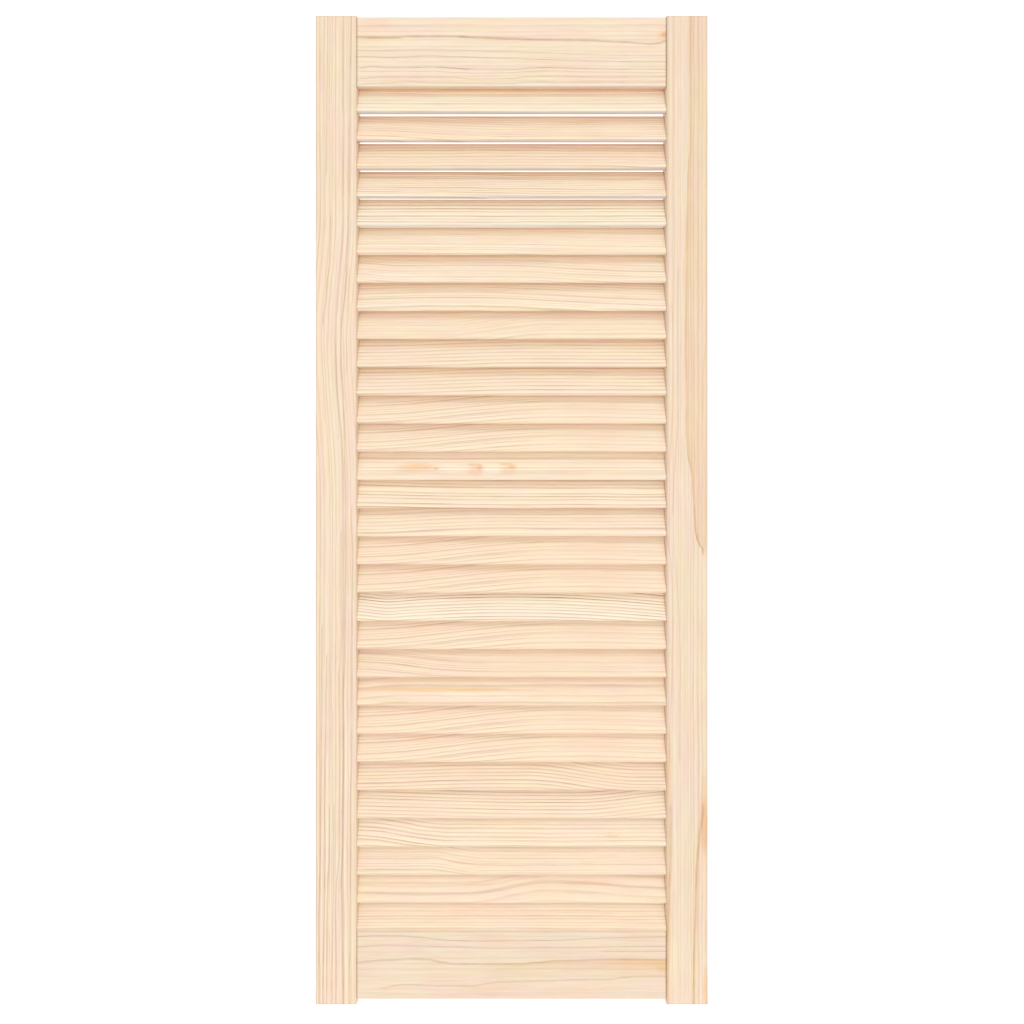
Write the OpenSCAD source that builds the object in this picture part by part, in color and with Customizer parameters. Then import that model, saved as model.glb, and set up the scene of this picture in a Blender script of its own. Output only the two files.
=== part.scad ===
// Louvred cabinet door: two stiles, two rails and a stack of fixed slanting slats.
// The origin is on the floor of the door's box, midway across its width and its thickness.
// +X is to the right seen from the front, +Y points to the back and +Z is up.

/* [Door] */
// Height of the door, over the ends of the stiles
door_h = 993; // [820:1:1400]
// Width of the door, over the outer edges of the stiles
door_w = 394; // [250:1:700]
// Thickness of the stiles
door_t = 21; // [19:0.5:28]

/* [Stiles] */
// Width of each stile
stile_w = 41.25; // [32:0.25:70]
// Radius that eases the long edges of the stiles
stile_ease = 1.2; // [0.5:0.1:2.5]
// Radius that eases the stiles' ends, along their front and back edges
stile_end_ease = 1; // [0.5:0.1:2.5]
// Length by which the stiles stand above the top rail
top_horn = 1; // [0:0.5:30]
// Length by which the stiles reach below the bottom rail
bottom_horn = 5; // [0:0.5:30]

/* [Rails] */
// Height of the top rail, at its front face
top_rail_h = 70; // [62:0.5:140]
// Height of the bottom rail
bottom_rail_h = 68.5; // [50:0.5:140]
// Distance of the rails' faces behind the faces of the stiles
rail_recess = 1; // [0:0.25:2.5]
// Radius that eases the long edges and the ends of the rails
rail_ease = 0.8; // [0.4:0.1:1.2]
// Thickness of the top rail at its lower edge, in front of the bevel that rises to its back
lip_t = 4; // [3:0.25:6]
// Gap between that bevel and the top slat, square to both
top_gap = 6.25; // [4.5:0.05:8]
// Depth of the groove in the bottom rail that takes the edge of the last slat
groove_depth = 1.6; // [0.8:0.1:2.5]

/* [Slats] */
// Thickness of a slat, whose two edges are full rounds
slat_t = 6; // [5:0.25:8]
// Slope of the slats, measured up from the level
slat_angle = 64; // [56:1:70]
// Distance of the slats' edges behind the door's front and back faces
slat_recess = 1.05; // [0.5:0.05:2.5]
// Number of slats, spread evenly between the rails
slat_count = 30; // [20:1:38]
// Depth of the mortises in the stiles that hold the slats
mortise_depth = 8; // [5:0.5:14]
// Room between a slat's end and the floor of its mortise
mortise_end_gap = 0.25; // [0.1:0.05:1]
// Room all round a slat in its mortise and its groove
slat_clearance = 0.1; // [0.05:0.05:0.3]

/* [Dowels] */
// Diameter of the dowels that join the rails to the stiles
dowel_d = 8; // [6:0.5:10]
// Length of a dowel
dowel_l = 35; // [25:1:50]
// Depth of the part of a dowel bore that is in the stile
dowel_bore_stile = 18; // [14:0.5:25]
// Distance of a dowel from the long edge of a rail
dowel_inset = 16; // [10:0.5:22]
// Least wood between a dowel bore and the bevel of the top rail
dowel_cover = 6; // [4:0.5:10]
// Room round a dowel in its bore, on the radius
dowel_clearance = 0.05; // [0.02:0.01:0.15]
// Room at each end of a dowel in its bore
dowel_end_gap = 0.5; // [0.25:0.25:2]
// Height of the chamfer on each end of a dowel
dowel_chamfer = 1; // [0.5:0.25:1.5]

/* [Hidden] */
$fn = 48;
// Length by which a cut runs past the surface that it opens
past = 1;

// Inner faces of the stiles
opening_w = door_w - 2 * stile_w;

// Levels of the rails' long edges
rail_t = door_t - 2 * rail_recess;
bottom_rail_z = bottom_horn;
bottom_rail_top = bottom_rail_z + bottom_rail_h;
top_rail_top = door_h - top_horn;
top_rail_z = top_rail_top - top_rail_h;

// The top rail's bevel starts here on its lower edge, and is parallel to the slats
bevel_y = lip_t - rail_t / 2;
function bevel_z(y) = top_rail_z + (y - bevel_y) * tan(slat_angle);

// A slat's section is a thick line from its front round's centre to its back round's centre
slat_run = door_t - 2 * slat_recess - slat_t;
slat_rise = slat_run * tan(slat_angle);
slat_chord = slat_run / cos(slat_angle);

// Height of the front round's centre, for the first slat at the top and the last at the bottom
first_slat_z = bevel_z(-slat_run / 2 - (top_gap + slat_t / 2) / sin(slat_angle));
last_slat_z = bottom_rail_top - groove_depth + slat_t / 2;
slat_pitch = (first_slat_z - last_slat_z) / (slat_count - 1);
slat_l = opening_w + 2 * (mortise_depth - mortise_end_gap);
function slat_z(i) = first_slat_z - (i - 1) * slat_pitch;

// Dowel bores run along X, from the stile's bore floor to the rail's
bore_l = dowel_l + 2 * dowel_end_gap;
bore_r = dowel_d / 2 + dowel_clearance;
top_dowel_z = [
    top_rail_top - dowel_inset,
    bevel_z(0) + (bore_r + dowel_cover) / cos(slat_angle)
];
bottom_dowel_z = [bottom_rail_top - dowel_inset, bottom_rail_z + dowel_inset];

// Names of the pieces that repeat
function slat_name(i) = str("slat_", i < 10 ? "0" : "", i);
// Each dowel is its name, the side it is on (-1 left, 1 right) and its level
DOWELS = [
    ["dowel_top_left_upper", -1, top_dowel_z[0]],
    ["dowel_top_left_lower", -1, top_dowel_z[1]],
    ["dowel_top_right_upper", 1, top_dowel_z[0]],
    ["dowel_top_right_lower", 1, top_dowel_z[1]],
    ["dowel_bottom_left_upper", -1, bottom_dowel_z[0]],
    ["dowel_bottom_left_lower", -1, bottom_dowel_z[1]],
    ["dowel_bottom_right_upper", 1, bottom_dowel_z[0]],
    ["dowel_bottom_right_lower", 1, bottom_dowel_z[1]],
];

// Finishes: bare pine, a little lighter on the slats, and beech dowels
stile_colour = [0.95, 0.86, 0.76];
rail_colour = [0.96, 0.87, 0.77];
slat_colour = [0.98, 0.90, 0.79];
dowel_colour = [0.85, 0.70, 0.52];

// Outline in X and Y that runs from the origin to [w, h], with its corners rounded
module eased_outline(w, h, r) {
    translate([r, 0]) square([w - 2 * r, h]);
    translate([0, r]) square([w, h - 2 * r]);
    for (x = [r, w - r], y = [r, h - r])
        translate([x, y]) circle(r);
}

// Carries an outline drawn in Y and Z along X, from -l / 2 to l / 2
module along_x(l) {
    translate([-l / 2, 0, 0]) rotate([90, 0, 90]) linear_extrude(l) children();
}

// Outline of slat i in Y and Z, grown all round by the given room
module slat_outline(i, room = 0) {
    r = slat_t / 2 + room;
    translate([-slat_run / 2, slat_z(i)]) rotate(slat_angle) {
        translate([0, -r]) square([slat_chord, 2 * r]);
        circle(r);
        translate([slat_chord, 0]) circle(r);
    }
}

// The bores for the dowels whose levels are given, on both sides of the door
module dowel_bores(levels) {
    bore_start = opening_w / 2 + dowel_bore_stile - bore_l;
    for (side = [-1, 1], z = levels)
        translate([side * bore_start, 0, z])
            rotate([0, side * 90, 0]) cylinder(r = bore_r, h = bore_l);
}

// The right stile: an eased board with a mortise for each slat's end and bores for the dowels
module stile_body() {
    difference() {
        intersection() {
            translate([opening_w / 2, -door_t / 2, 0])
                linear_extrude(door_h) eased_outline(stile_w, door_t, stile_ease);
            along_x(door_w + 2 * past)
                translate([-door_t / 2, 0]) eased_outline(door_t, door_h, stile_end_ease);
        }
        for (i = [1 : slat_count])
            along_x(opening_w + 2 * mortise_depth) slat_outline(i, slat_clearance);
        dowel_bores(concat(top_dowel_z, bottom_dowel_z));
    }
}

module right_stile() {
    color(stile_colour) stile_body();
}

module left_stile() {
    color(stile_colour) mirror([1, 0, 0]) stile_body();
}

// Section of a rail in Y and Z, from the level z up
module rail_outline(z, h) {
    translate([-rail_t / 2, z]) eased_outline(rail_t, h, rail_ease);
}

module top_rail_outline() {
    open_y = rail_t / 2 + past;
    difference() {
        rail_outline(top_rail_z, top_rail_h);
        polygon([
            [bevel_y, top_rail_z - past],
            [bevel_y, top_rail_z],
            [open_y, bevel_z(open_y)],
            [open_y, top_rail_z - past],
        ]);
    }
}

module bottom_rail_outline() {
    difference() {
        rail_outline(bottom_rail_z, bottom_rail_h);
        slat_outline(slat_count, slat_clearance);
    }
}

// A rail with the given section, its ends eased and bored for dowels at the given levels
module rail(dowel_levels) {
    color(rail_colour) difference() {
        intersection() {
            along_x(opening_w) children();
            translate([-opening_w / 2, -rail_t / 2, 0])
                linear_extrude(door_h) eased_outline(opening_w, rail_t, rail_ease);
        }
        dowel_bores(dowel_levels);
    }
}

module top_rail() {
    rail(top_dowel_z) top_rail_outline();
}

module bottom_rail() {
    rail(bottom_dowel_z) bottom_rail_outline();
}

module slat(i) {
    color(slat_colour) along_x(slat_l) slat_outline(i);
}

// A dowel with chamfered ends, centred in its bore
module dowel(side, z) {
    middle = opening_w / 2 + dowel_bore_stile - bore_l / 2;
    tip_r = dowel_d / 2 - dowel_chamfer / 2;
    body_l = dowel_l - 2 * dowel_chamfer;
    color(dowel_colour) translate([side * middle, 0, z]) rotate([0, 90, 0]) {
        cylinder(d = dowel_d, h = body_l, center = true);
        for (end = [-1, 1])
            rotate([end < 0 ? 180 : 0, 0, 0]) translate([0, 0, body_l / 2])
                cylinder(r1 = dowel_d / 2, r2 = tip_r, h = dowel_chamfer);
    }
}

left_stile();
right_stile();
top_rail();
bottom_rail();
for (i = [1 : slat_count])
    slat(i);
for (d = DOWELS)
    dowel(d[1], d[2]);
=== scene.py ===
import math

import bpy
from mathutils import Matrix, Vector


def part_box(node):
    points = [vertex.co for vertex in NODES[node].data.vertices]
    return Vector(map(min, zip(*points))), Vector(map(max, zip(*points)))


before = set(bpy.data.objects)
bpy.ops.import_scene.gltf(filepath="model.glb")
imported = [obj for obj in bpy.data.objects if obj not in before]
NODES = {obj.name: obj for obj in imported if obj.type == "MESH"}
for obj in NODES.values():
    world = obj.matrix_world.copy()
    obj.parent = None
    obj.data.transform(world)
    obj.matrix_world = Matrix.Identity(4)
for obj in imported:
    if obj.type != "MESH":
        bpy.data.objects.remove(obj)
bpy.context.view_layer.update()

# A bare pine louvred door: two stiles, two rails and thirty slanting slats, on a white studio floor.
# Metres, origin on the floor below the middle of the door, X along the slats, Z along the stiles.

MM = 0.001

SLATS = sorted(name for name in NODES if name.startswith("slat_"))
DOWELS = sorted(name for name in NODES if name.startswith("dowel_"))

# Slope of the slats, measured up from the level
SLAT_SLOPE = math.radians(64)


# Camera

# Height of the picture's centre above the floor, and the camera's distance from the front faces
EYE_HEIGHT = 0.4945
EYE_DISTANCE = 0.770
# Width and height of the picture, and its focal length, in pixels
PICTURE = 1024
FOCAL = 767.3
# The column of the picture that the door's middle stands on
DOOR_COLUMN = 511.6
# Width of the camera's sensor in millimetres, and the nearest that the camera sees in metres
SENSOR = 36
NEAREST = 0.02


def make_camera():
    """A level camera straight in front of the door, halfway up it."""
    data = bpy.data.cameras.new("eye")
    data.sensor_width = SENSOR
    data.lens = SENSOR * FOCAL / PICTURE
    data.shift_x = (PICTURE / 2 - DOOR_COLUMN) / PICTURE
    data.clip_start = NEAREST
    camera = bpy.data.objects.new("eye", data)
    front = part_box("left_stile")[0].y
    camera.location = (0, front - EYE_DISTANCE, EYE_HEIGHT)
    camera.rotation_euler = (math.pi / 2, 0, 0)
    bpy.context.scene.collection.objects.link(camera)
    bpy.context.scene.camera = camera


# Light

# Brightness of the room in front of the door, and of the white backdrop behind it
ROOM_LIGHT = 0.86
BACKDROP_LIGHT = 1.25
# How far a direction points to the back where the room starts to pass into the backdrop, and ends
BACKDROP_FROM = 0.2
BACKDROP_FULL = 0.6
# The key light, high in front of the door and a little to its right
KEY_ELEVATION = math.radians(41)
KEY_SIDE = math.radians(14)
KEY_SPREAD = math.radians(18)
KEY_POWER = 0.63
# The fill light, a wide soft box low in front of the door, which reaches up between the slats
FILL_SIZE = 1.9
FILL_PLACE = (0, -3.2, 0.06)
FILL_POWER = 71
# Softness of the picture's tones, over 1 for paler shadows
PRINT_GAMMA = 1.25


def aim(light, towards):
    """Turns a light so that it shines from the given direction."""
    light.rotation_mode = "QUATERNION"
    light.rotation_quaternion = Vector(towards).to_track_quat("Z", "Y")
    bpy.context.scene.collection.objects.link(light)


def make_light():
    """A room with a white backdrop, a soft key light, and a fill light aimed at the door's middle."""
    world = bpy.data.worlds.new("white_room")
    world.use_nodes = True
    nodes = Wiring(world.node_tree)
    sky = world.node_tree.nodes["Background"]
    sky.inputs["Color"].default_value = (1, 1, 1, 1)
    away = nodes.axes(nodes.add("ShaderNodeTexCoord", output="Generated"))[1]
    brightness = nodes.ramp(away, BACKDROP_FROM, BACKDROP_FULL, ROOM_LIGHT, BACKDROP_LIGHT)
    nodes.set(sky, "Strength", brightness)
    bpy.context.scene.world = world

    key = bpy.data.lights.new("key", "SUN")
    key.energy = KEY_POWER
    key.angle = KEY_SPREAD
    level = math.cos(KEY_ELEVATION)
    aim(bpy.data.objects.new("key", key), (
        level * math.sin(KEY_SIDE),
        -level * math.cos(KEY_SIDE),
        math.sin(KEY_ELEVATION),
    ))

    fill = bpy.data.lights.new("fill", "AREA")
    fill.size = FILL_SIZE
    fill.energy = FILL_POWER
    box = bpy.data.objects.new("fill", fill)
    box.location = FILL_PLACE
    aim(box, Vector(FILL_PLACE) - Vector((0, 0, EYE_HEIGHT)))


# Wiring of materials

# Sockets of the mix node that are used for colours
MIX_FACTOR = 0
MIX_FIRST = 6
MIX_SECOND = 7
MIX_RESULT = 2


class Wiring:
    """Adds nodes to a tree and joins them. Each call but set gives back the new node's output."""

    def __init__(self, tree):
        self.tree = tree

    def set(self, node, key, value):
        """Joins a node's input to a socket, or gives it a plain value."""
        if isinstance(value, bpy.types.NodeSocket):
            self.tree.links.new(value, node.inputs[key])
        else:
            node.inputs[key].default_value = value

    def add(self, kind, inputs=None, output=0, **settings):
        node = self.tree.nodes.new(kind)
        for name, value in settings.items():
            setattr(node, name, value)
        for key, value in (inputs or {}).items():
            self.set(node, key, value)
        return node.outputs[output]

    def axes(self, vector):
        """The three numbers of a vector."""
        node = self.tree.nodes.new("ShaderNodeSeparateXYZ")
        self.set(node, 0, vector)
        return list(node.outputs)

    def math(self, operation, *values, clamp=False):
        return self.add(
            "ShaderNodeMath", dict(enumerate(values)), operation=operation, use_clamp=clamp
        )

    def plus(self, first, second):
        return self.math("ADD", first, second)

    def minus(self, first, second):
        return self.math("SUBTRACT", first, second)

    def times(self, first, second):
        return self.math("MULTIPLY", first, second)

    def vector(self, operation, *values):
        return self.add("ShaderNodeVectorMath", dict(enumerate(values)), operation=operation)

    def grey(self, value):
        """A vector or a colour that holds the value three times."""
        return self.add("ShaderNodeCombineXYZ", {0: value, 1: value, 2: value})

    def ramp(self, value, start, end, low=0.0, high=1.0):
        """A smooth step from low to high as the value goes from start to end."""
        places = {0: value, 1: start, 2: end, 3: low, 4: high}
        return self.add("ShaderNodeMapRange", places, interpolation_type="SMOOTHSTEP")

    def noise(self, place, stretch, scale, detail, roughness):
        """Soft noise round 0, from about -0.5 to 0.5, on a place that is stretched first."""
        value = self.add("ShaderNodeTexNoise", {
            "Vector": self.vector("MULTIPLY", place, stretch),
            "Scale": scale,
            "Detail": detail,
            "Roughness": roughness,
        })
        return self.minus(value, 0.5)

    def blend(self, factor, first, second, kind="MIX"):
        """A mix of two colours."""
        colours = {MIX_FACTOR: factor, MIX_FIRST: first, MIX_SECOND: second}
        return self.add(
            "ShaderNodeMix", colours, MIX_RESULT, data_type="RGBA", blend_type=kind, clamp_factor=False
        )

    def tinted(self, colour, tint):
        """A colour times another."""
        return self.blend(1.0, colour, tint, "MULTIPLY")


def make_group(name, inputs, outputs):
    """A node group with number or vector inputs, whose defaults are given, and its outputs."""
    tree = bpy.data.node_groups.new(name, "ShaderNodeTree")
    for label, default in inputs.items():
        kind = "NodeSocketVector" if isinstance(default, tuple) else "NodeSocketFloat"
        socket = tree.interface.new_socket(label, in_out="INPUT", socket_type=kind)
        socket.default_value = default
    for label in outputs:
        tree.interface.new_socket(label, in_out="OUTPUT", socket_type="NodeSocketFloat")
    return tree, tree.nodes.new("NodeGroupInput"), tree.nodes.new("NodeGroupOutput")


# Pine

# What the grain of a board is made from, in millimetres on the board: u runs along the grain,
# v across the face and w out of it, from the middle of the board.
GRAIN = {
    # Half of the board's length, width and thickness
    "Half": (155.0, 20.0, 10.0),
    # Width of a year's ring, and how much the widths differ
    "Ring": 4.0,
    "Uneven": 1.4,
    # The heart of the log, across the face and below it
    "Heart Across": -60.0,
    "Heart Below": 25.0,
    # Two smooth bends of the grain: where each starts and ends along the board, and its height
    "Bend From": 0.0,
    "Bend To": 100.0,
    "Bend By": 0.0,
    "Second From": 0.0,
    "Second To": 100.0,
    "Second By": 0.0,
    # Height of an arch over the board's middle, at BOW_AT from it
    "Bow": 0.0,
    # How far the rings stray
    "Wander": 1.0,
    # Darkness of the late wood, and what is left of it past a fading stretch of the board
    "Late": 0.6,
    "Fade From": 0.0,
    "Fade To": 100.0,
    "Fade Left": 1.0,
    # How strongly the colour drifts across the board
    "Mottle": 1.0,
    # Number that sets this board's rings apart from the next one's
    "Log": 0.0,
}
# What the grain gives to a material
GRAIN_PARTS = (
    "Late Wood", "Fibre", "Drift", "Warmth", "Streak", "Duct", "Arris", "End", "Height"
)
# Distance from the middle of a board at which its bow is measured
BOW_AT = 150.0
# Distance between two logs in the noise that they are cut from
LOG_APART = 37.3

# Noises in the wood: how each place is stretched along the grain, across it and through it, and
# then the noise's scale, its detail and its roughness
SLOW_STRAY = ((1, 3.5, 3.5), 0.011, 1.5, 0.5)
QUICK_STRAY = ((1, 6, 6), 0.03, 2.0, 0.5)
LATE_PATCHES = ((1, 4, 4), 0.02, 1.0, 0.5)
FIBRES = ((0.035, 0.6, 0.6), 1.0, 3.0, 0.6)
COLOUR_DRIFT = ((0.3, 1, 1), 0.07, 2.0, 0.5)
WARMTH_DRIFT = ((-0.2, 1, 1), 0.08, 2.0, 0.5)
STREAKS = ((0.012, 0.33, 0.33), 1.0, 1.0, 0.5)
DUCTS = ((0.11, 2.1, 2.1), 1.0, 0.0, 0.5)
MARK_FRAY = ((0.12, 0.9, 0.2), 1.0, 2.0, 0.5)
VEIN_WAVER = ((1, 0.1, 0.1), 0.05, 2.0, 0.5)
# How much stronger the slow stray is than the quick one
SLOW_SHARE = 2.5
# How quickly the rings' widths change, in steps of their noise to a ring
RING_CHANGE = 0.6

# Course of a year's ring, from 0 to 1: the palest wood comes in at once and is gone by PALE_END,
# the late wood darkens from LATE_FROM on and ends sharply after LATE_DROP
PALE_IN = 0.06
PALE_FULL = 0.1
PALE_END = 0.45
LATE_FROM = 0.50
LATE_FULL = 0.90
LATE_DROP = 0.94
# How far the palest wood lies below the early wood, as a share of the late wood
PALEST = 0.22
# Strength of the faintest ring and what chance adds to it, and how patchy the rings are
FAINTEST = 0.6
CHANCE_ADDS = 0.9
PATCHINESS = 1.4

# Values of the ducts' noise at which a duct starts and is full
DUCT_FROM = 0.27
DUCT_FULL = 0.36
# Distances from an arris or an end, in millimetres, at which the darkening starts and is full
EDGE_DARK_FROM = 1.6
EDGE_DARK_FULL = 0.3
# Height of the fibres in the relief, as a share of the late wood's depth
FIBRE_HEIGHT = 0.6


def pine_grain():
    """The growth rings of a log, cut by the board.

    The ring number is the distance from the log's heart over the ring's width, with the heart moved
    by the bends, the bow and slow noise. A ring starts with its palest wood, where the late wood's
    share is below nothing, darkens slowly and ends sharply. The arrises are where two of the
    distances to the board's three pairs of faces are near nothing."""
    tree, given, result = make_group("pine grain", {"Board": (0, 0, 0), **GRAIN}, GRAIN_PARTS)
    nodes = Wiring(tree)
    value = given.outputs
    u, v, depth = nodes.axes(value["Board"])

    log = nodes.times(value["Log"], LOG_APART)
    moved = nodes.vector("ADD", value["Board"], nodes.grey(log))

    first = nodes.ramp(u, value["Bend From"], value["Bend To"], 0.0, value["Bend By"])
    second = nodes.ramp(u, value["Second From"], value["Second To"], 0.0, value["Second By"])
    share = nodes.math("DIVIDE", nodes.math("ABSOLUTE", u), BOW_AT)
    bow = nodes.times(nodes.math("POWER", share, 2.0), value["Bow"])
    slow = nodes.times(nodes.noise(moved, *SLOW_STRAY), SLOW_SHARE)
    stray = nodes.times(nodes.plus(slow, nodes.noise(moved, *QUICK_STRAY)), value["Wander"])
    shift = nodes.plus(nodes.plus(first, second), nodes.minus(stray, bow))

    across = nodes.minus(nodes.minus(v, shift), value["Heart Across"])
    below = nodes.plus(depth, value["Heart Below"])
    squares = nodes.plus(nodes.times(across, across), nodes.times(below, below))
    plain = nodes.math("DIVIDE", nodes.math("SQRT", squares), value["Ring"])
    uneven = nodes.add("ShaderNodeTexNoise", {
        "W": nodes.plus(nodes.times(plain, RING_CHANGE), log), "Scale": 1.0, "Detail": 1.0
    }, noise_dimensions="1D")
    ring = nodes.plus(plain, nodes.times(uneven, value["Uneven"]))
    part = nodes.math("FRACT", ring)
    number = nodes.plus(nodes.math("FLOOR", ring), log)
    chance = nodes.add("ShaderNodeTexWhiteNoise", {"W": number}, noise_dimensions="1D")

    dark = nodes.times(nodes.ramp(part, LATE_FROM, LATE_FULL), nodes.ramp(part, 1.0, LATE_DROP))
    pale = nodes.times(
        nodes.ramp(part, PALE_END, PALE_FULL), nodes.ramp(part, 0.0, PALE_IN, 0.0, PALEST)
    )
    weight = nodes.plus(nodes.times(chance, CHANCE_ADDS), FAINTEST)
    patch = nodes.plus(nodes.times(nodes.noise(moved, *LATE_PATCHES), PATCHINESS), 1.0)
    fade = nodes.ramp(u, value["Fade From"], value["Fade To"], 1.0, value["Fade Left"])
    strength = nodes.times(nodes.times(patch, fade), value["Late"])
    late = nodes.times(nodes.times(nodes.minus(dark, pale), weight), strength)

    fibre = nodes.noise(moved, *FIBRES)
    drift = nodes.times(nodes.noise(moved, *COLOUR_DRIFT), value["Mottle"])
    warmth = nodes.times(nodes.noise(moved, *WARMTH_DRIFT), value["Mottle"])
    streak = nodes.noise(moved, *STREAKS)
    duct = nodes.ramp(nodes.noise(moved, *DUCTS), DUCT_FROM, DUCT_FULL)

    to_end, to_side, to_face = (
        nodes.minus(half, nodes.math("ABSOLUTE", place))
        for half, place in zip(nodes.axes(value["Half"]), (u, v, depth))
    )
    near = nodes.math("MINIMUM", to_side, to_face)
    far = nodes.math("MINIMUM", nodes.math("MAXIMUM", to_side, to_face), to_end)
    arris = nodes.ramp(nodes.math("MAXIMUM", near, far), EDGE_DARK_FROM, EDGE_DARK_FULL)
    # Painted shade at the board's ends, where a rail meets a stile and at the stiles' top and foot
    end = nodes.ramp(to_end, EDGE_DARK_FROM, EDGE_DARK_FULL)

    height = nodes.minus(nodes.times(fibre, FIBRE_HEIGHT), nodes.plus(late, duct))
    parts = (late, fibre, drift, warmth, streak, duct, arris, end, height)
    for label, socket in zip(GRAIN_PARTS, parts):
        nodes.set(result, label, socket)
    return tree


PINE_GRAIN = pine_grain()

# Colours of sanded pine, as linear light: the pale early wood, the tan late wood
EARLY = (0.715, 0.560, 0.400, 1)
LATE = (0.505, 0.340, 0.222, 1)
# The slow drift of a board's colour, from pink to green, and from blue to yellow
PINK = (1.01, 0.95, 0.94, 1)
GREEN = (0.99, 1.01, 0.94, 1)
BLUE = (1.0, 1.0, 1.04, 1)
YELLOW = (1.0, 0.99, 0.94, 1)
# Value of the drift's noise, up or down, at which its colour is full
DRIFT_FULL = 0.2
# Share of the light that the fibres and the streaks add or take away
FIBRE_TONE = 0.28
STREAK_TONE = 0.12
# Share of the light that a resin duct swallows, that the wood near an arris loses, and that the
# painted shade at a board's end takes away, where a rail meets a stile and at the stiles' top and foot
DUCT_DARK = 0.10
ARRIS_DARK = 0.05
END_SHADE = 0.22
# Roughness of the early wood, and what the late wood and the fibres add to it
ROUGH = 0.6
LATE_ROUGH = -0.12
FIBRE_ROUGH = 0.15
# Strength of the relief and its depth in metres
RELIEF = 0.4
RELIEF_DEPTH = 0.0001

# Colours of marks in the wood, as shares of the light of the wood round them
AMBER = (0.97, 0.84, 0.64, 1)
ORANGE = (0.96, 0.76, 0.54, 1)
BROWN = (0.80, 0.66, 0.52, 1)
UMBER = (0.62, 0.50, 0.42, 1)
ROSE = (0.99, 0.86, 0.80, 1)
CREAM = (1.04, 1.10, 1.15, 1)
TAN = (0.95, 0.86, 0.75, 1)
# Painted shade: the ruddy colour of the slats' shaded upper parts
RUDDY_SHADE = (1.13, 0.99, 0.97, 1)
# Painted light: the paler colour of the stiles' inner sides
PALE_SIDE_LIGHT = (1.15, 1.14, 1.13, 1)
# Painted light: the paler colour put into the shadow on the first slat's upper part
LIGHTENED_SHADOW = (1.27, 1.24, 1.24, 1)
# Painted shade: the grey of the slats' shaded lower edges
GREY_SHADE = (0.71, 0.77, 0.91, 1)
# Colour of a line of late wood, likewise
VEIN = (0.65, 0.55, 0.48, 1)
# Share of a mark's size within which it has its full strength
MARK_CORE = 0.35


def add_mark(nodes, board, wood, colour, middle, reach, strength=1.0, ragged=0.35):
    """A soft oval patch on a board's face, drawn out and frayed along the grain.

    The patch fades from its core to its rim as a smooth step of the distance from its middle,
    measured in halves of the oval's length and width, plus streaky noise."""
    place = nodes.vector("SUBTRACT", board, (*middle, 0))
    oval = nodes.vector("MULTIPLY", place, (1 / reach[0], 1 / reach[1], 0))
    distance = nodes.add("ShaderNodeVectorMath", {0: oval}, "Value", operation="LENGTH")
    fray = nodes.times(nodes.noise(place, *MARK_FRAY), 2 * ragged)
    mask = nodes.ramp(nodes.plus(distance, fray), 1.0, MARK_CORE, 0.0, strength)
    return nodes.blend(mask, wood, nodes.tinted(wood, colour))


def add_vein(
    nodes, board, wood, path, reach=(1.2, 1.0), strength=1.0, colour=VEIN, uneven=1.4, fade=8.0
):
    """A line of late wood, which runs from point to point of a path on a board's face.

    Between two points its level is a smooth step of the place along the grain. The line fades to
    nothing at the given reaches below and above that level, so a long reach on one side makes a wash
    of colour beside the line. Its strength wavers along it, by the given share of soft noise, and it
    fades out over the given length past the path's ends."""
    u, v, _ = nodes.axes(board)
    level = path[0][1]
    for (start, low), (stop, high) in zip(path, path[1:]):
        if high != low:
            level = nodes.plus(nodes.ramp(u, start, stop, 0.0, high - low), level)
    away = nodes.minus(v, level)
    line = nodes.times(nodes.ramp(away, -reach[0], 0.0), nodes.ramp(away, reach[1], 0.0))
    first, last = path[0][0], path[-1][0]
    fades = nodes.times(nodes.ramp(u, first - fade, first), nodes.ramp(u, last + fade, last))
    waver = nodes.plus(nodes.times(nodes.noise(board, *VEIN_WAVER), uneven), 1.0)
    mask = nodes.math(
        "MULTIPLY", nodes.times(line, fades), nodes.times(waver, strength), clamp=True
    )
    return nodes.blend(mask, wood, nodes.tinted(wood, colour))


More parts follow.
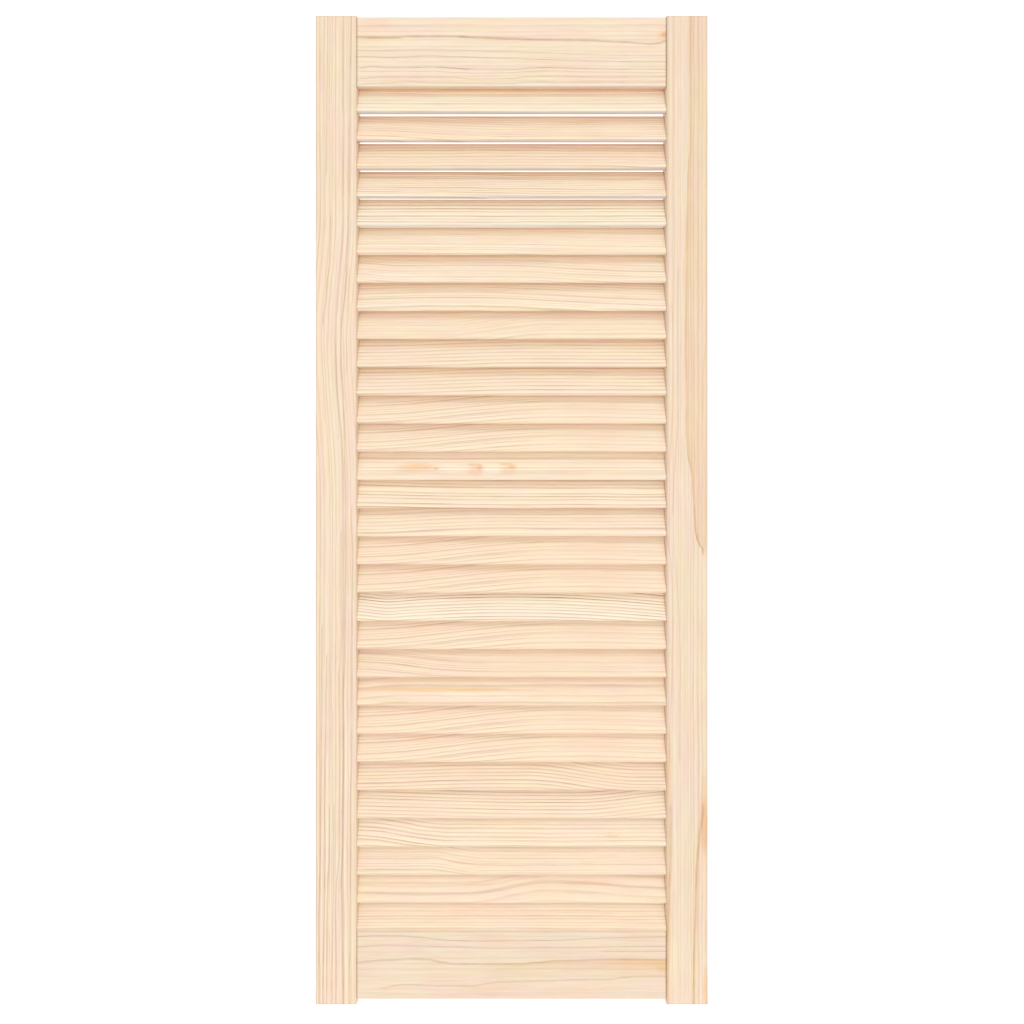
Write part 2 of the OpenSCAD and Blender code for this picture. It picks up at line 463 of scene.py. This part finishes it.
def pine(name, place, turn, tint, marks=(), veins=(), **grain):
    """Pine for one board, whose middle and whose turn are given in the door's frame."""
    material = bpy.data.materials.new(name)
    material.use_nodes = True
    tree = material.node_tree
    nodes = Wiring(tree)
    surface = tree.nodes["Principled BSDF"]
    door = nodes.add("ShaderNodeTexCoord", output="Object")
    board = nodes.add("ShaderNodeMapping", {
        "Vector": door, "Location": place, "Rotation": turn, "Scale": (MM, MM, MM)
    }, vector_type="TEXTURE")
    log = tree.nodes.new("ShaderNodeGroup")
    log.node_tree = PINE_GRAIN
    nodes.set(log, "Board", board)
    for label, value in grain.items():
        nodes.set(log, label.replace("_", " ").title(), value)
    late, fibre, drift, warmth, streak, duct, arris, end, height = log.outputs

    wood = nodes.blend(late, EARLY, LATE)
    for amount, low, high in ((drift, PINK, GREEN), (warmth, BLUE, YELLOW)):
        share = nodes.ramp(amount, -DRIFT_FULL, DRIFT_FULL)
        wood = nodes.tinted(wood, nodes.blend(share, low, high))
    tone = nodes.plus(nodes.times(fibre, FIBRE_TONE), nodes.times(streak, STREAK_TONE))
    # Resin ducts, darker arrises, and painted shade at the board's ends
    darkening_and_shade = nodes.plus(nodes.times(duct, DUCT_DARK), nodes.times(arris, ARRIS_DARK))
    darkening_and_shade = nodes.plus(darkening_and_shade, nodes.times(end, END_SHADE))
    wood = nodes.tinted(wood, nodes.grey(nodes.minus(nodes.plus(tone, 1.0), darkening_and_shade)))
    wood = nodes.tinted(wood, (*tint, 1))
    for mark in marks:
        wood = add_mark(nodes, board, wood, **mark)
    for vein in veins:
        wood = add_vein(nodes, board, wood, **vein)
    nodes.set(surface, "Base Color", wood)
    rough = nodes.plus(nodes.times(late, LATE_ROUGH), nodes.times(fibre, FIBRE_ROUGH))
    nodes.set(surface, "Roughness", nodes.plus(rough, ROUGH))
    nodes.set(surface, "Normal", nodes.add("ShaderNodeBump", {
        "Strength": RELIEF, "Distance": RELIEF_DEPTH, "Height": height
    }))
    return material


def dress(node, material):
    """Gives a CAD node its material."""
    mesh = NODES[node].data
    mesh.materials.clear()
    mesh.materials.append(material)


# Half the length of a seam across a board, in millimetres
SEAM_LENGTH = 90


# A seam is a dark joint line with painted shade added to it
def seam_and_shade(u, half, strength=1.0, colour=BROWN):
    """The dark line across a board where it meets a stile, by its place and half its width."""
    return {
        "colour": colour, "middle": (u, 0), "reach": (half, SEAM_LENGTH), "ragged": 0.0,
        "strength": strength,
    }


# Half the length of a straight line that runs past both ends of a slat or a rail, and of a stile
PAST_SLAT = 165
PAST_STILE = 505


def straight(half, level):
    """The path of a straight line along a board."""
    return ((-half, level), (half, level))


# Boards

# Tints of single boards, over the common pine
EVEN = (1.0, 1.0, 1.0)
PALE = (1.02, 1.04, 1.05)
CREAMY = (1.01, 1.08, 1.11)
WARM = (1.005, 0.975, 0.965)
BLUSH = (0.98, 0.94, 0.92)
DULL = (0.98, 0.965, 0.955)
LEFT_STILE_TINT = (0.895, 0.87, 0.87)
RIGHT_STILE_TINT = (0.87, 0.855, 0.86)
TOP_RAIL_TINT = (0.915, 0.91, 0.925)
BOTTOM_RAIL_TINT = (0.85, 0.83, 0.85)

# The grain of the frame's boards
LEFT_STILE_GRAIN = {
    "log": 50.0, "ring": 3.3, "late": 0.45, "uneven": 1.2, "mottle": 1.5, "bend_from": -300,
    "bend_to": -170, "bend_by": -8, "second_from": -170, "second_to": -20, "second_by": 8,
}
RIGHT_STILE_GRAIN = {"log": 53.1, "ring": 3.6, "late": 0.35, "mottle": 1.5}
TOP_RAIL_GRAIN = {"log": 70.0, "ring": 4.6, "late": 0.25, "mottle": 1.5}
BOTTOM_RAIL_GRAIN = {"log": 73.1, "ring": 5.0, "late": 0.18, "mottle": 1.5}
# The dowels' tint and grain
BEECH_TINT = (0.85, 0.8, 0.75)
BEECH_GRAIN = {"ring": 1.5, "late": 0.3}

# Several slats come from one plank, whose rings rise from the left and then run level
RISING = {
    "log": 12.0, "ring": 3.5, "uneven": 1.4, "bend_from": -160, "bend_to": 50, "bend_by": 17,
    "second_from": 70, "second_to": 160, "second_by": -2, "late": 0.62, "wander": 0.5,
    "fade_from": -20, "fade_to": 60, "fade_left": 0.55,
}
# Two come from a plank with level, even rings
LEVEL = {
    "log": 31.0, "ring": 3.9, "uneven": 0.6, "bend_from": -150, "bend_to": 20, "bend_by": 5,
    "late": 0.6, "wander": 0.6,
}

# The tint and the grain of each slat, from the top one down
SLAT_BOARDS = [
    (CREAMY, {"ring": 4.4, "late": 0.5, "bow": -1, "wander": 0.8}),
    (WARM, {"ring": 3.2, "late": 0.65, "bend_from": -165, "bend_to": 0, "bend_by": -9}),
    (BLUSH, {"ring": 4.0, "late": 0.75, "bow": 1.5, "wander": 1.6}),
    (PALE, {"ring": 2.5, "late": 1.05, "bend_from": -150, "bend_to": 100, "bend_by": -3}),
    (CREAMY, {"ring": 4.2, "late": 1.0, "uneven": 0.8, "wander": 0.7}),
    (PALE, {"ring": 3.3, "late": 0.45, "bend_from": -80, "bend_to": 160, "bend_by": -4}),
    (PALE, {
        "ring": 2.6, "late": 0.6, "bend_from": -165, "bend_to": -110, "bend_by": -4,
        "second_from": -10, "second_to": 150, "second_by": -8,
    }),
    (PALE, {
        "ring": 3.2, "late": 0.65, "bend_from": -160, "bend_to": -60, "bend_by": 2,
        "second_from": -50, "second_to": 165, "second_by": -10,
    }),
    (EVEN, {"ring": 3.5, "late": 0.3, "bend_from": -70, "bend_to": 40, "bend_by": 14}),
    (EVEN, LEVEL),
    (EVEN, {**LEVEL, "heart_across": -58.2}),
    (EVEN, RISING),
    (EVEN, {**RISING, "heart_across": -58.5}),
    (PALE, {"ring": 6.2, "late": 0.5, "uneven": 2.0, "wander": 0.6}),
    (EVEN, {"ring": 4.2, "late": 1.1, "bend_from": -160, "bend_to": -60, "bend_by": -3}),
    (EVEN, {"ring": 3.7, "late": 0.6, "bend_from": -160, "bend_to": -10, "bend_by": 5}),
    (WARM, {**RISING, "heart_across": -61.0}),
    (WARM, {**RISING, "heart_across": -60.3}),
    (CREAMY, {
        "ring": 3.1, "late": 1.25, "uneven": 0.7, "bow": 8, "wander": 0.6,
        "bend_from": -165, "bend_to": -120, "bend_by": -7,
    }),
    (WARM, {**RISING, "heart_across": -59.3}),
    (BLUSH, {
        "ring": 3.0, "late": 0.68, "bend_from": -160, "bend_to": -30, "bend_by": -10,
        "fade_from": -60, "fade_to": 0, "fade_left": 0.45,
    }),
    (BLUSH, {"ring": 7.9, "late": 0.5, "bend_from": -165, "bend_to": -110, "bend_by": 4}),
    (WARM, {**RISING, "heart_across": -61.8}),
    (WARM, {**RISING, "heart_across": -60.6}),
    (BLUSH, {
        "ring": 3.2, "late": 0.85, "uneven": 0.4, "wander": 0.5, "bend_from": -165,
        "bend_to": -20, "bend_by": 3, "second_from": 15, "second_to": 130, "second_by": -12,
    }),
    (DULL, {
        "ring": 3.1, "late": 0.75, "uneven": 0.4, "wander": 0.5, "bend_from": -165,
        "bend_to": 20, "bend_by": -4, "second_from": 65, "second_to": 170, "second_by": 8,
    }),
    (EVEN, {
        "ring": 3.7, "late": 0.85, "bend_from": -155, "bend_to": -60, "bend_by": -10,
        "fade_from": -100, "fade_to": -20, "fade_left": 0.7,
    }),
    (DULL, {
        "ring": 3.0, "late": 0.56, "bend_from": -85, "bend_to": -30, "bend_by": -6,
        "fade_from": 0, "fade_to": 100, "fade_left": 0.6,
    }),
    (BLUSH, {
        "ring": 7.9, "late": 0.4, "uneven": 0.8, "bend_from": -45, "bend_to": 35, "bend_by": 11,
        "second_from": 35, "second_to": 165, "second_by": -6,
    }),
    (BLUSH, {"ring": 2.5, "late": 0.55, "bow": 0.5, "wander": 0.8}),
]

# The upper part of each slat, which the next slat shades, is painted ruddier: painted shade
SHADED_UPPER_PART = {
    "path": straight(PAST_SLAT, 17), "reach": (14, 8), "colour": RUDDY_SHADE, "strength": 0.75,
    "uneven": 0.3,
}

# The first slat's upper part, in the shadow under the top rail, is painted paler as painted light, and the
# lower rounded edges of the first five are painted grey as painted shade
LIGHTENED_UPPER_SHADOW = {
    "path": straight(PAST_SLAT, 9), "reach": (9, 34), "colour": LIGHTENED_SHADOW, "strength": 0.85,
    "uneven": 0.3,
}
SHADED_LOWER_EDGE = {
    "path": straight(PAST_SLAT, -17.5), "reach": (9, 0.6), "colour": GREY_SHADE, "uneven": 0.2,
}

# The seams where each slat enters the stiles: dark joint lines deepened with painted shade, darker at
# the right end, where the right stile shades it
SLAT_SEAMS_AND_SHADE = [seam_and_shade(-156.2, 1.6, 0.9), seam_and_shade(156.2, 1.6, 0.9, UMBER)]

# Half of a slat's length, of its width up the slope and of its thickness
SLAT_HALF = (163.0, 17.6, 3.0)
# Distance between the logs of two slats that follow each other
SLAT_LOG_STEP = 1.7

# Marks on single slats, by the slat's number
SLAT_MARKS = {
    2: [{"colour": AMBER, "middle": (73, 6.5), "reach": (22, 3.5), "strength": 0.8}],
    7: [{"colour": CREAM, "middle": (-118, -11), "reach": (28, 3.5)}],
    14: [
        {"colour": CREAM, "middle": (-58, -7), "reach": (20, 9)},
        {"colour": CREAM, "middle": (-20, -9), "reach": (13, 8), "strength": 1.3},
        {"colour": ORANGE, "middle": (-97, -5), "reach": (28, 7.5), "strength": 0.75},
        {"colour": ROSE, "middle": (-90, -4), "reach": (20, 6), "strength": 0.5},
        {"colour": UMBER, "middle": (-76, -6.5), "reach": (4, 2.6), "strength": 0.5},
        {"colour": ROSE, "middle": (-36, -9), "reach": (11, 9)},
        {"colour": BROWN, "middle": (-38, -1.5), "reach": (9, 2.4), "strength": 0.65},
        {"colour": BROWN, "middle": (-32, -5), "reach": (5, 5), "strength": 0.65},
        {"colour": ROSE, "middle": (-2, -8), "reach": (11, 9)},
        {"colour": BROWN, "middle": (-6, -1), "reach": (9, 2.4), "strength": 0.65},
        {"colour": BROWN, "middle": (1, -4), "reach": (6, 4), "strength": 0.65},
    ],
    22: [
        {"colour": AMBER, "middle": (-75, -2.2), "reach": (90, 3.2), "ragged": 0.15},
        {"colour": TAN, "middle": (-20, -2.8), "reach": (60, 1.6), "ragged": 0.15},
        {"colour": AMBER, "middle": (-118, -15), "reach": (22, 2.2), "strength": 0.6},
        {"colour": CREAM, "middle": (-50, -9), "reach": (100, 4.5)},
    ],
    27: [{"colour": AMBER, "middle": (101, -8), "reach": (10, 1.5)}],
    29: [{"colour": ROSE, "middle": (82, 1), "reach": (34, 3.6), "strength": 0.8}],
}

# Lines and washes of colour on single slats, likewise
SLAT_VEINS = {
    # Slats 1 to 5 carry the painted light in the first slat's shadow and the painted shade on their lower
    # edges
    1: [{**SHADED_UPPER_PART, "strength": 1.0}, LIGHTENED_UPPER_SHADOW, SHADED_LOWER_EDGE],
    2: [SHADED_LOWER_EDGE],
    3: [SHADED_LOWER_EDGE],
    4: [SHADED_LOWER_EDGE],
    5: [{**SHADED_UPPER_PART, "strength": 0.4}, {**SHADED_LOWER_EDGE, "strength": 0.6}],
    14: [{"path": ((-165, 6.5), (-60, 5), (60, 6.5), (165, 5.5)), "strength": 0.5}],
    28: [{"path": ((-165, -1), (-84, -1), (-46, -7.5), (165, -8)), "strength": 0.4}],
    29: [
        {"path": ((-165, -8), (-90, -10), (-32, -8), (35, 1), (165, -4)), "strength": 0.4},
        {"path": ((-165, -1), (-90, -3), (-32, -1), (25, 6)), "strength": 0.3},
    ],
}


def dress_slats():
    """Each slat's board frame lies in its sloping face: u along X, v up the slope."""
    for count, (name, (tint, grain)) in enumerate(zip(SLATS, SLAT_BOARDS), 1):
        low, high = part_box(name)
        own = {"log": count * SLAT_LOG_STEP, "half": SLAT_HALF, **grain}
        marks = [*SLAT_MARKS.get(count, ()), *SLAT_SEAMS_AND_SHADE]
        # Every slat gets the painted shade on its upper part
        veins = [SHADED_UPPER_PART, *SLAT_VEINS.get(count, ())]
        turn = (SLAT_SLOPE, 0, 0)
        dress(name, pine(f"slat_pine_{count:02d}", (low + high) / 2, turn, tint, marks, veins, **own))


# Marks and lines on the rails, whose u runs to the right and v up
# Dark joint lines where the rails meet the stiles, deepened with painted shade, stronger at the right end,
# which the right stile shades
RAIL_SEAMS_AND_SHADE = [seam_and_shade(156, 2.2), seam_and_shade(-156, 2.2, 0.5)]
TOP_RAIL_MARKS = [
    {"colour": ROSE, "middle": (-135, 27), "reach": (24, 7), "strength": 0.4},
    {"colour": CREAM, "middle": (-98, 8.5), "reach": (55, 4.5), "strength": 0.5},
    {"colour": AMBER, "middle": (153, 16.5), "reach": (10, 6), "ragged": 0.2},
    {"colour": BROWN, "middle": (154, 17), "reach": (5, 4), "ragged": 0.2, "strength": 0.8},
    *RAIL_SEAMS_AND_SHADE,
]
TOP_RAIL_VEINS = [
    {"path": ((-140, 14), (-115, 14)), "reach": (1.6, 3), "colour": ORANGE, "strength": 0.8},
    {"path": ((-50, 14.6), (0, 12.8), (20, 12.2)), "reach": (1.2, 3.4), "colour": ORANGE, "strength": 0.7},
    {"path": (
        (-165, 14.8), (-140, 14), (-115, 14), (-105, 15.2), (-60, 15.2), (-35, 14), (0, 12.8), (20, 12),
        (80, 11.2), (95, 10.2), (115, 9.4), (130, 8.2), (140, 7.6), (148, 8.4), (156, 11),
    ), "reach": (1.7, 2.6), "strength": 0.8},
    {"path": (
        (-165, 1.8), (-135, 1), (-95, 1.8), (-70, 1.9), (0, 0.2), (30, -1), (70, -2.4), (110, -3.6),
        (165, -3.9),
    ), "strength": 0.45},
    {"path": (
        (-165, -4.8), (-150, -4.8), (-125, -5.6), (-80, -4.2), (-60, -5), (0, -6.6), (30, -7.8), (60, -8.6),
        (110, -9.8), (165, -9.8),
    ), "strength": 0.65},
    {"path": (
        (-150, -16), (-140, -14.8), (-120, -15.8), (-75, -15.4), (-60, -16.4), (-45, -17.4), (5, -17.6),
        (18, -16.4), (30, -15.9), (110, -17.6), (165, -17.8),
    ), "strength": 0.75},
    {"path": ((-70, -15.6), (-60, -16.4), (-45, -17.4)), "reach": (1, 1.4), "strength": 0.6},
    {"path": (
        (-150, -19.6), (-75, -19.8), (-55, -21), (-35, -21.6), (0, -21.2), (14, -20), (30, -19.4),
        (90, -20.4), (165, -21.2),
    ), "strength": 0.5},
    {"path": (
        (-165, -28), (-150, -26.8), (-130, -25.4), (-60, -25.6), (-40, -27.4), (0, -27), (14, -25.2),
        (30, -24.6), (90, -25.6), (165, -25.2),
    ), "strength": 0.6},
    {"path": (
        (-165, -33), (-135, -31.8), (-100, -30.3), (-75, -31.2), (0, -32), (15, -30.6), (30, -30.2),
        (45, -30.8), (165, -30.6),
    ), "strength": 0.6},
]
BOTTOM_RAIL_MARKS = [
    {"colour": AMBER, "middle": (155, -3), "reach": (14, 9), "strength": 0.7},
    {"colour": CREAM, "middle": (-125, 25), "reach": (30, 3.5), "strength": 0.4},
    {"colour": ROSE, "middle": (-20, -25), "reach": (45, 5), "strength": 0.4},
    *RAIL_SEAMS_AND_SHADE,
]
BOTTOM_RAIL_VEINS = [
    {"path": ((12, 1.4), (22, 2.8), (50, 4.6), (100, 5.8), (165, 5.6)), "reach": (22, 1), "colour": TAN,
     "strength": 0.8, "uneven": 0.4, "fade": 70},
    {"path": ((140, 5.7), (165, 5.6)), "reach": (19, 1), "colour": AMBER, "strength": 0.8, "uneven": 0.4,
     "fade": 60},
    {"path": (
        (-165, 28.4), (-130, 29.6), (-112, 29.4), (-95, 28.2), (-75, 26), (-62, 24.8), (-35, 24), (40, 24.8),
        (60, 25.4), (80, 26.8), (110, 27.6), (165, 28.6),
    ), "strength": 0.65},
    {"path": (
        (-165, 18), (-125, 20.2), (-100, 19.4), (-65, 18.4), (-10, 16.8), (30, 17.6), (80, 17.8), (105, 18.8),
        (165, 18.6),
    ), "strength": 0.55},
    {"path": (
        (-152, 3), (-145, 4), (-130, 5.2), (-95, 6.6), (-85, 6), (-70, 3.2), (-58, 1.2), (12, 1.4), (22, 2.8),
        (50, 4.6), (100, 5.8), (165, 5.6),
    ), "reach": (2.4, 1.2), "strength": 0.6},
    {"path": (
        (-128, -23.5), (-118, -21), (-108, -19.8), (-70, -21), (-38, -21.4), (-25, -18.8), (-10, -17),
        (30, -16.2), (70, -14.8), (100, -14.6), (112, -12.6), (125, -11.4), (165, -11.4),
    ), "reach": (1.0, 1.8), "strength": 0.55},
    {"path": ((-165, 33.6), (165, 33.4)), "strength": 0.35},
    {"path": ((95, 14), (165, 13.8)), "strength": 0.5},
]

# Marks and lines on the stiles, whose u runs down from the middle and v to the right. The inner
# sides, between the slats, are painted paler than the faces: painted light in their shade.
LIT_INNER_SIDE = {"colour": PALE_SIDE_LIGHT, "reach": (2000, 0.3), "ragged": 0.0}
LEFT_STILE_MARKS = [{**LIT_INNER_SIDE, "middle": (0, 20.625)}]
LEFT_STILE_VEINS = [
    # Dark joint lines on the inner arris beside the rails, deepened with painted shade
    {"path": ((-497, 20.6), (-430, 20.6)), "strength": 0.4, "colour": BROWN},
    {"path": ((420, 20.6), (485, 20.6)), "strength": 0.5, "colour": BROWN},
    {"path": (
        (-497, 15.4), (-430, 14.2), (-330, 13.2), (-280, 12.6), (-240, 10.4), (-225, 9.4), (-180, 5.2),
        (-150, 5.2), (-110, 7.6), (-60, 8.8), (0, 9.8), (100, 9.8), (140, 9.2), (190, 7.2), (210, 7.8),
        (345, 6.6), (375, 5.2), (400, 6), (497, 7.2),
    ), "reach": (1.3, 1.6), "strength": 0.65},
    {"path": ((-497, 10.6), (-400, 10.4)), "strength": 0.25},
    {"path": ((-497, -8.2), (-435, -8.4), (-410, -9.2), (-340, -9.4)), "strength": 0.55},
    {"path": ((-290, -5), (-250, -6.4), (-220, -9.4), (-190, -12.6)), "strength": 0.5},
    {"path": ((-240, 13.8), (-200, 12.6), (-175, 10.8), (-140, 11)), "strength": 0.35},
    {"path": ((-165, -0.5), (-140, 0.8), (-90, 3), (-75, 2.8)), "strength": 0.25},
    {"path": (
        (25, 5.4), (60, 5), (110, 6), (150, 5), (165, 3.2), (230, 4), (345, 3.4), (375, 0.8), (400, 0),
        (497, 0.6),
    ), "strength": 0.55},
    {"path": ((0, 16), (60, 17), (130, 16.4), (240, 16), (300, 14.6), (497, 14)), "strength": 0.7},
    # A dark line along the whole inner arris: painted shade
    {"path": straight(PAST_STILE, 20.4), "reach": (1.2, 0.2), "colour": BROWN, "strength": 0.3},
    {"path": ((120, -4.6), (165, -5.4), (248, -5)), "strength": 0.35},
    {"path": ((300, -2), (345, -2.4), (497, -4)), "strength": 0.6},
    {"path": ((150, -9.2), (200, -10), (300, -11.2), (340, -10.8), (497, -13)), "strength": 0.7},
    {"path": ((120, -13.8), (248, -14.6), (350, -15.6), (420, -17.2), (497, -17)), "strength": 0.7},
    {"path": ((300, -6.4), (345, -6.6), (375, -8), (420, -8.8), (497, -9.4)), "strength": 0.7},
    {"path": ((150, -11.6), (300, -13), (420, -15), (497, -15)), "reach": (1.4, 1.4), "colour": CREAM},
    {"path": ((250, -8.6), (345, -8.8), (420, -11), (497, -11.2)), "reach": (1.4, 1.4), "colour": CREAM},
    {"path": ((300, -4.2), (420, -6.2), (497, -6.6)), "reach": (1.4, 1.4), "colour": CREAM, "strength": 0.8},
    {"path": ((200, 9.8), (345, 9), (400, 8.2), (497, 9.4)), "reach": (1.2, 1.6), "colour": CREAM,
     "strength": 0.8},
    {"path": ((-400, 16.6), (-280, 15.4), (-200, 10)), "reach": (1.2, 1.6), "colour": CREAM, "strength": 0.7},
]
RIGHT_STILE_MARKS = [
    {"colour": AMBER, "middle": (312, 18), "reach": (52, 4.4), "ragged": 0.2},
    {"colour": TAN, "middle": (318, 17), "reach": (36, 5.2)},
    {"colour": AMBER, "middle": (484, 18.5), "reach": (34, 4)},
    # Painted light on the right stile's inner side
    {**LIT_INNER_SIDE, "middle": (0, -20.625)},
]
# A darker tongue of wood runs down the outer half of the right stile, to a round tip
TONGUE = (
    (-497, 2.4), (-370, 2.6), (-330, 0.4), (-260, -1), (-165, -1.8), (-110, -0.8), (-80, -1), (-60, 0),
    (-30, 5.2), (0, 6.8), (20, 7.8), (28, 9.2), (35, 12), (40, 15),
)
RIGHT_STILE_VEINS = [
    {"path": TONGUE, "reach": (1, 34), "colour": TAN, "strength": 0.85, "uneven": 0.4},
    {"path": TONGUE[:-2], "reach": (1, 5), "colour": AMBER, "strength": 0.45, "uneven": 0.6},
    {"path": TONGUE, "reach": (1, 1.8), "colour": BROWN, "strength": 0.45},
    {"path": TONGUE[-5:], "reach": (1, 2.4), "colour": BROWN, "strength": 0.8, "uneven": 0.4},
    {"path": (
        (-400, 19.4), (-180, 19), (-130, 16), (-75, 15.6), (-20, 18.4), (20, 19), (32, 17.8), (40, 15.2),
    ), "colour": BROWN, "strength": 0.35},
    {"path": ((-497, -13.4), (-250, -13), (-180, -14.6), (-100, -14.8), (-40, -18)), "colour": BROWN,
     "strength": 0.5},
    {"path": ((-240, -9), (-180, -9.6), (-90, -9.6), (-50, -12), (-30, -13.6), (0, -14.6)), "strength": 0.45},
    {"path": ((50, -11.4), (80, -10), (110, -8), (150, -7), (200, -8), (248, -8.2)), "strength": 0.35},
    {"path": ((30, -19), (55, -16.6), (75, -15.2), (110, -14.6), (150, -15.2), (248, -18)), "strength": 0.4},
    {"path": ((255, -17), (300, -15.8), (350, -15.8), (390, -17), (497, -18.6)), "reach": (6, 1.4),
     "colour": TAN, "uneven": 0.6, "fade": 40},
    {"path": ((300, -16.6), (350, -16.6), (390, -18), (430, -19.6)), "reach": (3, 1.2), "colour": BROWN,
     "strength": 0.7},
    {"path": ((270, 14.6), (300, 13.6), (330, 10.8), (365, 8.8), (390, 8.2), (450, 6.4), (497, 5.8)),
     "reach": (1.4, 5), "colour": AMBER, "strength": 0.7, "uneven": 0.6},
    {"path": (
        (300, 15.5), (330, 12), (345, 10), (365, 8.8), (390, 8.2), (450, 6.4), (497, 5.8),
    ), "reach": (1.4, 2.4), "colour": BROWN, "strength": 0.9},
    {"path": ((415, 18.6), (440, 18.4)), "colour": BROWN, "strength": 0.6},
    {"path": ((200, -14.4), (505, -14.4)), "reach": (1.4, 2.4), "colour": CREAM, "strength": 0.8},
    # Darker lines along the inner arris and beside the rails than on the left stile: painted shade, as this
    # arris faces away from the light
    {"path": straight(PAST_STILE, -20.4), "reach": (0.2, 2.2), "colour": BROWN, "strength": 0.5},
    {"path": ((-497, -20.6), (-430, -20.6)), "strength": 0.7, "colour": BROWN},
    {"path": ((420, -20.6), (485, -20.6)), "strength": 0.8, "colour": BROWN},
]


# The tint, the grain, the marks and the lines of each board of the frame
FRAME_BOARDS = {
    "left_stile": (LEFT_STILE_TINT, LEFT_STILE_GRAIN, LEFT_STILE_MARKS, LEFT_STILE_VEINS),
    "right_stile": (RIGHT_STILE_TINT, RIGHT_STILE_GRAIN, RIGHT_STILE_MARKS, RIGHT_STILE_VEINS),
    "top_rail": (TOP_RAIL_TINT, TOP_RAIL_GRAIN, TOP_RAIL_MARKS, TOP_RAIL_VEINS),
    "bottom_rail": (BOTTOM_RAIL_TINT, BOTTOM_RAIL_GRAIN, BOTTOM_RAIL_MARKS, BOTTOM_RAIL_VEINS),
}


def dress_frame():
    """Gives the stiles and the rails their pine.

    The stiles' grain runs along Z: u down from the middle, v to the right, w to the front. The
    rails' grain runs along X: u to the right, v up, w to the front."""
    quarter = math.pi / 2
    for name, (tint, grain, marks, veins) in FRAME_BOARDS.items():
        low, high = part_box(name)
        size = (high - low) / 2 / MM
        if name.endswith("stile"):
            turn = (quarter, quarter, 0)
            half = (size.z, size.x, size.y)
        else:
            turn = (quarter, 0, 0)
            half = (size.x, size.z, size.y)
        own = {"half": half, **grain}
        dress(name, pine(name + "_pine", (low + high) / 2, turn, tint, marks, veins, **own))


def dress_dowels():
    """One plain wood for all the dowels, which are hidden in the frame."""
    beech = pine("dowel_beech", (0, 0, 0), (0, 0, 0), BEECH_TINT, **BEECH_GRAIN)
    for name in DOWELS:
        dress(name, beech)


# Studio

# Width of the floor in metres, its white as linear light and its roughness
FLOOR_SIZE = 6.0
FLOOR_WHITE = 0.2
FLOOR_ROUGH = 0.9
# Glow of the floor in front of the door, and of the backdrop's part of the floor from its foot on
FLOOR_GLOW = 0.775
BACKDROP_GLOW = 0.97
# Where the one passes into the other, in front of the door
GLOW_FROM = -0.25
GLOW_TO = -0.05


def make_floor():
    """A white floor, level with the stiles' feet."""
    half = FLOOR_SIZE / 2
    mesh = bpy.data.meshes.new("floor")
    corners = [(-half, -half, 0), (half, -half, 0), (half, half, 0), (-half, half, 0)]
    mesh.from_pydata(corners, [], [(0, 1, 2, 3)])
    floor = bpy.data.objects.new("floor", mesh)
    bpy.context.scene.collection.objects.link(floor)
    white = bpy.data.materials.new("studio_white")
    white.use_nodes = True
    surface = white.node_tree.nodes["Principled BSDF"]
    surface.inputs["Base Color"].default_value = (FLOOR_WHITE, FLOOR_WHITE, FLOOR_WHITE, 1)
    surface.inputs["Roughness"].default_value = FLOOR_ROUGH
    surface.inputs["Emission Color"].default_value = (1, 1, 1, 1)
    nodes = Wiring(white.node_tree)
    away = nodes.axes(nodes.add("ShaderNodeTexCoord", output="Object"))[1]
    glow = nodes.ramp(away, GLOW_FROM, GLOW_TO, FLOOR_GLOW, BACKDROP_GLOW)
    nodes.set(surface, "Emission Strength", glow)
    mesh.materials.append(white)


make_camera()
make_light()
make_floor()
dress_slats()
dress_frame()
dress_dowels()

scene = bpy.context.scene
scene.view_settings.view_transform = "Standard"
scene.view_settings.look = "None"
scene.view_settings.gamma = PRINT_GAMMA
